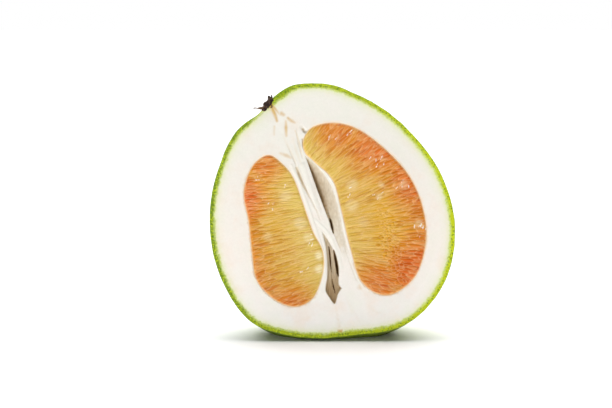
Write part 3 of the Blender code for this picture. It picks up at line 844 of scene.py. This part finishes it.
def share_from_core(outline, u, v):
    """How far a place lies from the core towards the peel, as a share of its segment's whole reach."""
    core_top, core_foot = np.array(CORE_TOP), np.array(CORE_FOOT)
    run = (core_foot - core_top) / np.linalg.norm(core_foot - core_top)
    edge = np.abs((outline[:, 0] - core_top[0]) * run[1] - (outline[:, 1] - core_top[1]) * run[0])
    here = np.abs((u - core_top[0]) * run[1] - (v - core_top[1]) * run[0])
    return np.clip((here - edge.min()) / (edge.max() - edge.min()), 0.0, 1.0)


def blushed(blushes, u, v):
    """How blushed a place is, from blushes given as (u, v, reach, strength)."""
    found = np.zeros_like(u)
    for blush_u, blush_v, reach, strength in blushes:
        found = np.maximum(found, strength * smooth_step(1.2 - np.hypot(u - blush_u, v - blush_v) / reach))
    return found


def sac_lean(centre, u, v):
    """Lean in degrees of sacs that point back towards one place beyond the core."""
    return np.degrees(np.arctan((v - centre[1]) / (u - centre[0])))


def pack_sacs(outline, lean_centre, blushes, round_zone, seed):
    """Juice sacs that fill an outline: place, lean, half length and half width of each."""
    rng = np.random.default_rng(seed)
    tries = rng.uniform(outline.min(axis=0), outline.max(axis=0), (SAC_TRIES, 2))
    tries = tries[inside(outline, tries[:, 0], tries[:, 1])]
    u, v = tries.T
    lean = np.radians(sac_lean(lean_centre, u, v) + rng.normal(0.0, LEAN_SCATTER, len(u)))
    stout = np.maximum(smooth_step((share_from_core(outline, u, v) - 0.35) / 0.6), blushed(blushes, u, v))
    length, width = rng.uniform(SHORTEST, LONGEST, (len(u), 2)).T
    length = length * (SLIM_SAC[0] + stout * (STOUT_SAC[0] - SLIM_SAC[0]))
    width = width * (SLIM_SAC[1] + stout * (STOUT_SAC[1] - SLIM_SAC[1]))
    if round_zone:
        distance, near = nearest_on(round_zone, u, v)
        reach, dome = near.T
        end_on = rng.uniform(size=len(u)) < smooth_step((reach - distance) / 5.0)
        length = np.where(end_on, dome * rng.uniform(0.85, 1.2, len(u)), length)
        width = np.where(end_on, dome, width)
    kept = []
    taken = np.zeros((0, 4))
    for i in range(len(u)):
        if len(kept):
            du, dv = taken[:, 0] - u[i], taken[:, 1] - v[i]
            along = du * math.cos(lean[i]) + dv * math.sin(lean[i])
            off = dv * math.cos(lean[i]) - du * math.sin(lean[i])
            along = along / (CLOSEST_ALONG * (length[i] + taken[:, 2]))
            off = off / (CLOSEST_ACROSS * (width[i] + taken[:, 3]))
            if (along ** 2 + off ** 2).min() < 1.0:
                continue
        kept.append(i)
        taken = np.vstack([taken, (u[i], v[i], length[i], width[i])])
    return np.stack([u, v, lean, length, width], axis=-1)[kept]


def sac_surface(sacs, u, v, seed):
    """Upper envelope of the sacs: its height, the height above the sac beneath, and each sac's tint."""
    rng = np.random.default_rng(seed)
    top = np.full(u.shape, GAP_DEPTH)
    second = np.full(u.shape, GAP_DEPTH)
    tint = np.zeros(u.shape)
    for sac_u, sac_v, lean, length, width in sacs:
        base = rng.uniform(-0.12, 0.12)
        own_tint = rng.uniform(-1.0, 1.0)
        lopsided = rng.uniform(-0.25, 0.45)
        close = np.flatnonzero(np.hypot(u - sac_u, v - sac_v) < length * 1.5 + width)
        du, dv = u[close] - sac_u, v[close] - sac_v
        x = (du * math.cos(lean) + dv * math.sin(lean)) / (length * DOME_LENGTH)
        y = (dv * math.cos(lean) - du * math.sin(lean)) / (width * DOME_WIDTH)
        body = np.sqrt(np.maximum(1.0 - x ** 2, 0.0)) * (1.0 + lopsided * x)
        dome = width * (body - np.abs(y) ** 1.8 / np.maximum(body, 0.08)) + base
        dome = np.where(np.abs(x) < 1.0, dome, -9.0)
        higher = dome > top[close]
        second[close] = np.where(higher, top[close], np.maximum(second[close], dome))
        tint[close] = np.where(higher, own_tint, tint[close])
        top[close] = np.maximum(top[close], dome)
    return top, top - second, tint


# Wet, half-clear juice sacs: deep orange inside, paler at each thin wall, fine streaks along them.
STREAK_LEANS = (-6.0, 14.0, 38.0)
juice_sacs, tree, shader, coordinates = new_material("juice_sacs")
streaks = []
for lean in STREAK_LEANS:
    along = node(tree, "Mapping", {"Vector": coordinates, "Rotation": (0.0, -math.radians(lean), 0.0),
                                   "Scale": (6.0 * MM, 2.0 * MM, 0.8 * MM)}, vector_type="TEXTURE")
    made = node(tree, "TexNoise", {"Vector": along.outputs["Vector"], "Scale": 1.0, "Detail": 3.0,
                                   "Roughness": 0.6})
    streaks.append(made.outputs["Fac"])
lean_here = attribute(tree, "lean")
falling, level, rising = STREAK_LEANS
past_level = maths(tree, "SUBTRACT", lean_here, level)
steeper = maths(tree, "MULTIPLY", past_level, 1.0 / (rising - level), clamp=True)
flatter = maths(tree, "MULTIPLY", past_level, -1.0 / (level - falling), clamp=True)
streak = mix(tree, steeper, mix(tree, flatter, streaks[1], streaks[0]), streaks[2])
change = maths(tree, "ADD", maths(tree, "MULTIPLY", attribute(tree, "tint"), 0.38),
               maths(tree, "MULTIPLY", maths(tree, "SUBTRACT", streak, 0.5), 0.9))
juice = attribute(tree, "juice", "Color")
deeper = mix(tree, 1.0, juice, shade(226, 186, 150), "MULTIPLY")
paler = mix(tree, 0.30, juice, shade(246, 222, 160))
colour = mix(tree, maths(tree, "MULTIPLY", change, 1.5, clamp=True), juice, deeper)
colour = mix(tree, maths(tree, "MULTIPLY", change, -1.5, clamp=True), colour, paler)
colour = mix(tree, maths(tree, "MULTIPLY", attribute(tree, "wall"), 0.45), colour, shade(246, 214, 150))
patchy = ramp(tree, streak, (0.36, grey(0.25)), (0.60, grey(1.0)))
colour = mix(tree, maths(tree, "MULTIPLY", attribute(tree, "haze"), patchy), colour, shade(244, 230, 184))
colour = mix(tree, attribute(tree, "rim"), colour, shade(250, 212, 160))
# Painted highlights: the raised bits are painted near white, standing in for glints on the wet sacs.
glint_breakup = ramp(tree, speckle(tree, coordinates, 0.9, 2.0, 0.6), (0.40, grey(0.0)), (0.54, grey(1.0)))
colour = mix(tree, maths(tree, "MULTIPLY", attribute(tree, "painted_glint"), glint_breakup), colour, shade(255, 250, 240))
plug(shader, {
    "Base Color": colour,
    "Normal": bumped(tree, 0.4, 0.12, streak),
    "Roughness": 0.32,
    "Specular IOR Level": 0.15,
    "Coat Weight": 0.30,
    "Coat Roughness": 0.10,
    "Subsurface Weight": 0.25,
    "Subsurface Radius": (1.0, 0.55, 0.25),
    "Subsurface Scale": 1.0 * MM,
})


def juice_colour(outline, u, v, blushes, round_zone):
    """Yellow beside the core, amber in the middle and orange at the peel, with redder, blushed places."""
    out = share_from_core(outline, u, v)[:, None]
    colour = YELLOW_JUICE + smooth_step(out / 0.45) * (AMBER_JUICE - YELLOW_JUICE)
    colour = colour + smooth_step((out - 0.50) / 0.5) * (ORANGE_JUICE - colour)
    if round_zone:
        near, values = nearest_on(round_zone, u, v)
        golden = 0.5 * smooth_step(1.5 - near / values[:, 0])
        colour = colour + golden[:, None] * (GOLDEN_JUICE - colour)
    return colour + blushed(blushes, u, v)[:, None] * (RED_JUICE - colour)


def painted_glint_marks(outline, places, seed):
    """Painted glints, near-white ripped bits of sac skin scattered round places: lines with half width and
    strength.
    """
    rng = np.random.default_rng(seed)
    found = []
    for place_u, place_v, reach, count in places:
        for u, v in rng.normal((place_u, place_v), reach, (count, 2)):
            lean = math.radians(rng.uniform(0.0, 90.0))
            run, rise = rng.uniform(0.3, 1.3) * np.array([math.cos(lean), math.sin(lean)])
            strength = rng.uniform(0.5, 1.0)
            if inside(outline, np.array([u]), np.array([v]))[0]:
                found.append(((u - run, v - rise, 0.45, strength), (u + run, v + rise, 0.45, strength)))
    return found


def build_segment(name, outline, lean_centre, blushes, haze_of, glint_places, round_zone, seed):
    """The cut face of one segment, a surface of sacs, with the rest of it as a plain cup behind."""
    net = scattered(outline.min(axis=0), outline.max(axis=0), SEGMENT_GRID, seed)
    net = net[inside(outline, net[:, 0], net[:, 1])]
    net = net[nearest_on(outline, net[:, 0], net[:, 1], closed=True)[0] > 0.2]
    corners, faces = fill(outline, [], net)
    u, v = corners[:, 0], corners[:, 1]
    from_edge = nearest_on(outline, u, v, closed=True)[0]
    sacs = pack_sacs(outline, lean_centre, blushes, round_zone, seed)
    top, above, tint = sac_surface(sacs, u, v, seed)
    settled = smooth_step(from_edge / EDGE_ROUND)
    height = (0.30 + 0.72 * top) * settled
    haze = np.zeros_like(u)
    for haze_u, haze_v, reach, strength in haze_of:
        haze = np.maximum(haze, strength * smooth_step(1.4 - np.hypot(u - haze_u, v - haze_v) / reach))
    # Painted glints: near-white marks, raised a little, standing in for highlights on the wet sacs.
    painted_glint = np.zeros_like(u)
    for glint_mark in painted_glint_marks(outline, glint_places, seed):
        painted_glint = np.maximum(painted_glint, band_along(glint_mark, u, v))
    height += 0.35 * painted_glint
    points = [place(u, v, -height)]
    rings, tip = cup_rings(outline, FLESH_DEPTH)
    add_rings(points, faces, np.arange(len(outline)), rings, tip)
    vertices = np.vstack(points)
    piece = new_object(name, vertices, faces, juice_sacs)
    unseen = np.zeros(len(vertices) - len(u))
    juice = np.maximum(juice_colour(outline, u, v, blushes, round_zone) - PALE_SHARE, 0.004)
    store(piece, "juice", np.vstack([juice, np.tile(juice.mean(axis=0), (len(unseen), 1))]))
    store(piece, "tint", np.append(tint, unseen))
    store(piece, "wall", np.append(np.exp(-above / 0.14), unseen))
    store(piece, "haze", np.append(haze, unseen))
    store(piece, "painted_glint", np.append(smooth_step(painted_glint * 1.6), unseen))
    store(piece, "rim", np.append(0.75 * smooth_step(1.0 - from_edge / 1.0), unseen + 1.0))
    store(piece, "lean", np.append(sac_lean(lean_centre, u, v), unseen))
    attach(piece, "root")
    return piece


YELLOW_JUICE = np.array(shade(228, 200, 112)[:3])
AMBER_JUICE = np.array(shade(226, 180, 92)[:3])
ORANGE_JUICE = np.array(shade(222, 146, 76)[:3])
RED_JUICE = np.array(shade(226, 120, 66)[:3])
GOLDEN_JUICE = np.array(shade(230, 172, 66)[:3])

# Where the sun and the ends of the fruit blushed the juice, as (u, v, reach, strength).
LEFT_BLUSH = ((-42, 108, 16, 0.7), (-56, 88, 20, 0.9), (-25, 19, 18, 0.7))
RIGHT_BLUSH = ((4, 129, 20, 0.7), (26, 120, 24, 0.8), (50, 98, 20, 0.6), (51, 42, 24, 0.9),
               (28, 32, 22, 0.8))
# The sacs of each segment lean as if they came from one place far beyond the core.
LEFT_LEAN_CENTRE = (260, 130)
RIGHT_LEAN_CENTRE = (-62, 56)
# Where the knife met the sacs end on, so they show as small domes, as (u, v, reach, dome radius).
ROUND_ZONE = ((31, 80, 5.0, 1.0), (36, 60, 9.0, 1.2), (41, 38, 6.0, 1.9))

# Pale patches where membrane stayed on the sacs, as (u, v, reach, strength).
LEFT_HAZE = ((-20, 71, 4, 0.55), (-15, 62, 3, 0.6), (-29, 88, 4, 0.4), (-40, 63, 3, 0.3),
             (-8, 51, 3, 1.0), (-8, 43, 3, 1.0))
RIGHT_HAZE = ((12, 95, 4, 0.4), (12, 82, 4, 0.45), (30, 95, 2, 0.5), (29, 88, 2, 0.5), (44, 95, 3, 0.4),
              (19, 72, 3, 0.3), (54, 71, 3, 0.4))
# Places round which painted glints lie, drawn as torn scraps of sac skin, as (u, v, spread, how many).
LEFT_PAINTED_GLINTS = ((-37, 81, 1.5, 3), (-15, 60, 2.0, 4), (-28, 94, 2.0, 2), (-46, 100, 1.5, 2),
               (-15, 43, 2.5, 2))
RIGHT_PAINTED_GLINTS = ((0, 126, 1.5, 3), (12, 128, 1.5, 3), (28, 109, 2.0, 5), (44, 96, 2.0, 5),
                (55, 68, 2.0, 7), (29, 92, 3.0, 3), (14, 90, 4.0, 3))

flesh_left = build_segment("flesh_left_sacs", left_outline, LEFT_LEAN_CENTRE, LEFT_BLUSH, LEFT_HAZE,
                           LEFT_PAINTED_GLINTS, None, 21)
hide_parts("flesh_left")
flesh_right = build_segment("flesh_right_sacs", right_outline, RIGHT_LEAN_CENTRE, RIGHT_BLUSH, RIGHT_HAZE,
                            RIGHT_PAINTED_GLINTS, ROUND_ZONE, 22)
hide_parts("flesh_right")


# --- Calyx ----------------------------------------------------------------------------------------------
# The dry woody button that held the stem: five shrunken lobes round a snapped stub, and one bent spike.  It
# sits in the dimple of the skin just behind the cut, dark brown and rough.

STEM_ANGLE = math.radians(-32.0)     # clockwise from straight up
STEM_BACK = 0.05                     # just behind the cut
STEM_SUNK = 1.6
SWEEP_SIDES = 12
KNOBBLY = 0.18                       # how unevenly thick the rods are
CRUMPLE_DEPTH = 0.36
CRUMPLE_SIZE = 1.5


def sweep(path, half_widths, half_heights, upward):
    """Closed rod along a path: an ellipse at each place, wide across and high along upward."""
    path = np.asarray(path, float)
    ways = np.gradient(path, axis=0)
    turns = np.linspace(0.0, 2.0 * math.pi, SWEEP_SIDES, endpoint=False)
    rings = []
    for centre, way, half_width, half_height in zip(path, ways, half_widths, half_heights):
        way = way / np.linalg.norm(way)
        side = np.cross(way, upward)
        side = side / np.linalg.norm(side)
        up = np.cross(side, way)
        across = np.outer(np.cos(turns) * half_width, side)
        rings.append(centre + across + np.outer(np.sin(turns) * half_height, up))
    return rings


def along_curve(controls, count=12):
    """Places on the smooth open curve through a few control places, with their further values."""
    controls = np.asarray(controls, float)
    padded = np.vstack([2 * controls[0] - controls[1], controls, 2 * controls[-1] - controls[-2]])
    where = np.linspace(1.0, len(controls) - 1e-6, count)
    return through(padded, where)


# Dark bark: nearly black to dull brown in random patches, lighter brown where a rod is worn.
dry_bark, tree, shader, coordinates = new_material("dry_bark")
patches = speckle(tree, coordinates, 1.6, 4.0, 0.65)
colour = ramp(tree, patches, (0.32, shade(26, 18, 18)), (0.52, shade(52, 38, 34)),
              (0.72, shade(112, 88, 68)))
colour = mix(tree, attribute(tree, "worn"), colour, shade(126, 98, 72))
bark = speckle(tree, coordinates, 0.8, 4.0, 0.7)
plug(shader, {"Base Color": colour, "Normal": bumped(tree, 0.8, 0.35, bark), "Roughness": 0.85,
              "Specular IOR Level": 0.2})

# Everything is drawn on the skin at the stem: along the edge (up and right), outwards, and backwards.
seat = skin_point(np.array([STEM_ANGLE]), np.array([0.0]))[0] / MM
out_way = skin_normal(np.array([STEM_ANGLE]), np.array([STEM_BACK]))[0]
out_way = out_way - (out_way @ CUT_NORMAL) * CUT_NORMAL
out_way /= np.linalg.norm(out_way)
edge_way = np.cross(CUT_NORMAL, out_way)
edge_way = edge_way * np.sign(edge_way[2])
back_way = -CUT_NORMAL
seat = seat - STEM_SUNK * out_way


def on_seat(edge, outward, backward):
    """Places on the button's seat, in millimetres of the world."""
    return seat + np.multiply.outer(edge, edge_way) + np.multiply.outer(outward, out_way) \
        + np.multiply.outer(backward, back_way)


# Each rod: control places as (edge, outward, backward, half width, half height), and how worn it is.
rods = [
    # The button itself, a rough cushion, and the snapped stub on it.
    (((-5.0, 0.4, 1.4, 1.2, 0.8), (-2.6, 1.0, 1.4, 3.0, 1.7), (0.2, 1.2, 1.6, 3.4, 1.9),
      (2.8, 1.0, 1.5, 2.9, 1.6), (5.0, 0.4, 1.4, 1.2, 0.7)), 0.0),
    (((-0.4, 1.2, 0.6, 1.9, 1.7), (-0.6, 2.6, 0.6, 1.6, 1.4), (-0.8, 3.4, 0.8, 1.3, 1.2),
      (-0.9, 3.7, 0.8, 0.5, 0.4)), 0.15),
    # The bent spike, thick at its root and thin at its tip.
    (((-2.4, 1.6, -0.4, 0.9, 0.9), (-3.9, 2.6, -0.8, 1.0, 0.9), (-5.0, 3.6, -0.9, 0.65, 0.6),
      (-6.0, 4.9, -0.9, 0.45, 0.4), (-6.7, 6.1, -1.0, 0.5, 0.45), (-7.1, 6.8, -1.0, 0.15, 0.15)), 0.55),
    # The thin curl that hangs over the cut edge.
    (((1.0, 0.2, -1.6, 0.4, 0.35), (1.2, -0.9, -2.2, 0.4, 0.3), (0.3, -1.9, -2.2, 0.35, 0.3),
      (-0.9, -1.6, -2.0, 0.15, 0.15)), 0.2),
]
# Shrunken lobes, as (direction round the button in degrees, reach, lift).
LOBES = ((8, 6.4, 2.0), (38, 6.0, 3.4), (150, 4.6, 1.2), (205, 5.6, 0.6), (280, 4.4, 1.6), (328, 5.2, 1.4))
rng = np.random.default_rng(31)
for degrees, reach, lift in LOBES:
    edge, backward = math.cos(math.radians(degrees)), 0.75 * math.sin(math.radians(degrees))
    rods.append((((edge * 1.2, 1.0, 1.2 + backward * 1.2, 1.4, 0.9),
                  (edge * 0.5 * reach, 1.3, 1.2 + backward * 0.5 * reach, 1.8, 0.9),
                  (edge * 0.8 * reach, 1.0 + 0.5 * lift, 1.2 + backward * 0.8 * reach, 1.2, 0.7),
                  (edge * reach, 1.0 + lift, 1.2 + backward * reach, 0.35, 0.3)), 0.1))
points, faces, worn_here = [], [], []
for controls, wear in rods:
    curve = along_curve(controls)
    path = on_seat(curve[:, 0], curve[:, 1], curve[:, 2])
    knobs = 1.0 + KNOBBLY * rng.standard_normal(len(curve))
    rings = sweep(path, curve[:, 3] * knobs, curve[:, 4] * knobs, out_way + 0.3 * edge_way)
    start = sum(len(part) for part in points)
    points += rings
    points.append(np.array([path[0], path[-1]]))
    numbers = start + np.arange(len(rings) * SWEEP_SIDES).reshape(len(rings), -1)
    added = joined_rings(numbers) + fan(numbers[-1], start + numbers.size + 1)
    faces += turned(added + turned(fan(numbers[0], start + numbers.size)))
    worn_here += [wear] * (numbers.size + 2)
vertices = np.vstack(points)
crumple = np.stack([rough_field(vertices, CRUMPLE_SIZE, seed) for seed in (11, 12, 13)], axis=-1)
crumple = CRUMPLE_DEPTH * crumple
calyx = new_object("calyx_button", (vertices + crumple) * MM, faces, dry_bark)
store(calyx, "worn", np.array(worn_here))
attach(calyx, "root")
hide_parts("calyx")


# --- Floor, light and camera ----------------------------------------------------------------------------
# A plain pale floor under a white studio sky.  One broad soft light from overhead and behind casts the
# shadow, a softbox at the front lights the cut face, and a small lamp puts glints on the wet sacs.

FLOOR_HALF = 60.0
pale_floor, tree, shader, coordinates = new_material("pale_floor")
plug(shader, {"Base Color": grey(0.95), "Roughness": 0.9, "Specular IOR Level": 0.1})
floor = new_object("floor", [(-FLOOR_HALF, -FLOOR_HALF, 0), (FLOOR_HALF, -FLOOR_HALF, 0),
                             (FLOOR_HALF, FLOOR_HALF, 0), (-FLOOR_HALF, FLOOR_HALF, 0)],
                   [(0, 1, 2, 3)], pale_floor)


def add_light(name, kind, position, target, power):
    """A light at a position, aimed at a target; returns its settings."""
    data = bpy.data.lights.new(name, kind)
    data.energy = power
    light = bpy.data.objects.new(name, data)
    scene.collection.objects.link(light)
    light.location = position
    light.rotation_euler = (Vector(target) - Vector(position)).to_track_quat("-Z", "Y").to_euler()
    return data


overhead = add_light("overhead_glow", "SUN", (0.0, 1.25, 2.0), (0.0, 0.0, 0.0), 5.3)
overhead.angle = math.radians(92.0)
front = add_light("front_softbox", "AREA", (-0.5, -1.6, 0.12), (0.0, 0.0, 0.06), 11.0)
front.size = 0.7
glint = add_light("glint_lamp", "AREA", (-0.5, -0.9, 0.9), (0.0, 0.0, 0.08), 0.7)
glint.size = 0.12

# The white studio: its sky shows as pure white, and lights the fruit a little less.
SKY_LIGHT = 0.15
world = bpy.data.worlds.new("white_studio")
world.use_nodes = True
sky = world.node_tree
backing = sky.nodes["Background"]
backing.inputs["Color"].default_value = (1.0, 1.0, 1.0, 1.0)
seen = node(sky, "LightPath").outputs["Is Camera Ray"]
sky.links.new(maths(sky, "MAXIMUM", seen, SKY_LIGHT), backing.inputs["Strength"])
scene.world = world
scene.view_settings.view_transform = "Standard"

CAMERA_DISTANCE = 1.053
CAMERA_ELEVATION = math.radians(6.0)
AIM = Vector((-0.0164, -0.0159, 0.0845))
camera_data = bpy.data.cameras.new("camera")
camera_data.lens = 100.0
camera = bpy.data.objects.new("camera", camera_data)
scene.collection.objects.link(camera)
towards_camera = Vector((0.0, -math.cos(CAMERA_ELEVATION), math.sin(CAMERA_ELEVATION)))
camera.location = AIM + CAMERA_DISTANCE * towards_camera
camera.rotation_euler = (AIM - camera.location).to_track_quat("-Z", "Y").to_euler()
scene.camera = camera
